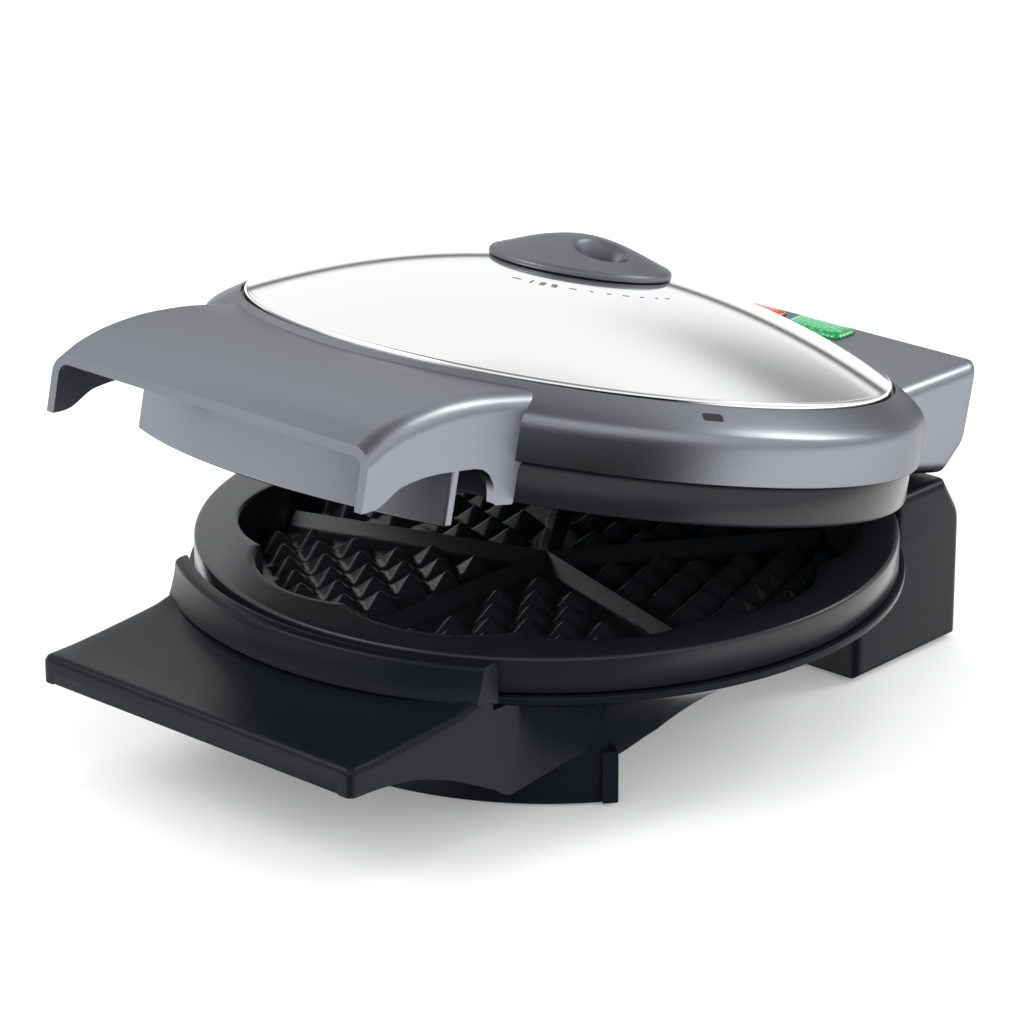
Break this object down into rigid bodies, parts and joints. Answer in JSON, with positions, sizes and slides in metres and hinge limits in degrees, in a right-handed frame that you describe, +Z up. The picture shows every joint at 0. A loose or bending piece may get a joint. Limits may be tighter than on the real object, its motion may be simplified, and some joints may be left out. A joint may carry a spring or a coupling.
{
  "type": "heart waffle maker",
  "caption": "Round heart waffle maker, half open: hinged lid with folded front handle, domed steel cover, dial and lenses, over a black base with a front tongue.",
  "frame": {"origin": "middle of the footprint, on the surface the feet stand on", "axes": "+X to the right hand of someone standing at the handle, +Y from the handle back to the hinge, +Z up"},
  "size_m": [0.222, 0.2768, 0.1439],
  "materials": {
    "black_plastic": "satin black moulded plastic",
    "grey_paint": "smooth satin grey paint",
    "polished_steel": "polished stainless steel",
    "cooking_plate": "dark grey non-stick coat on cast aluminium",
    "plain_steel": "plain zinc-coated steel",
    "element_sheath": "heat-stained steel tube",
    "shield_steel": "aluminised steel sheet",
    "black_rubber": "matte rubber",
    "dial_grey": "satin grey moulded plastic",
    "orange_lens": "clear orange-red moulding",
    "green_lens": "clear green moulding",
    "lamp_glass": "clear glass",
    "board": "bare circuit board"
  },
  "bodies": {
    "base": {"base_housing": "black_plastic", "lower_plate": "cooking_plate", "lower_heating_element": "element_sheath", "lower_heat_shield": "shield_steel", "bottom_cover": "black_plastic", "terminal_block": "black_plastic", "thermal_fuse": "plain_steel", "cord_grommet": "black_rubber", "hinge_bracket_left": "plain_steel", "hinge_bracket_right": "plain_steel", "hinge_pin_left": "plain_steel", "hinge_pin_right": "plain_steel", "bracket_screw_left": "plain_steel", "bracket_screw_right": "plain_steel", "rubber_foot_1": "black_rubber", "cover_screw_1": "plain_steel", "rubber_foot_2": "black_rubber", "cover_screw_2": "plain_steel", "rubber_foot_3": "black_rubber", "cover_screw_3": "plain_steel", "rubber_foot_4": "black_rubber", "cover_screw_4": "plain_steel", "lower_shield_screw_1": "plain_steel", "lower_shield_screw_2": "plain_steel", "lower_shield_screw_3": "plain_steel"},
    "lid": {"lid_housing": "grey_paint", "steel_cover": "polished_steel", "upper_plate": "cooking_plate", "upper_heating_element": "element_sheath", "upper_heat_shield": "shield_steel", "thermostat": "plain_steel", "lens_heating": "orange_lens", "lens_ready": "green_lens", "lamp_board": "board", "bulb_heating": "lamp_glass", "bulb_ready": "lamp_glass", "upper_shield_screw_1": "plain_steel", "upper_shield_screw_2": "plain_steel", "upper_shield_screw_3": "plain_steel", "hinge_arm_left": "plain_steel", "hinge_arm_right": "plain_steel", "arm_screw_left": "plain_steel", "arm_screw_right": "plain_steel"},
    "dial": {"dial_knob": "dial_grey", "dial_shaft": "plain_steel"}
  },
  "joints": [
    {"name": "lid_hinge", "type": "hinge", "parent": "base", "child": "lid", "pos_m": [0, 0.1211, 0.0563], "axis": [-1, 0, 0], "range_deg": [-13.2, 85]},
    {"name": "dial_turn", "type": "hinge", "parent": "lid", "child": "dial", "pos_m": [0, 0.02867, 0.13519], "axis": [0, 0.2284, 0.9736], "range_deg": [-135, 135]}
  ]
}
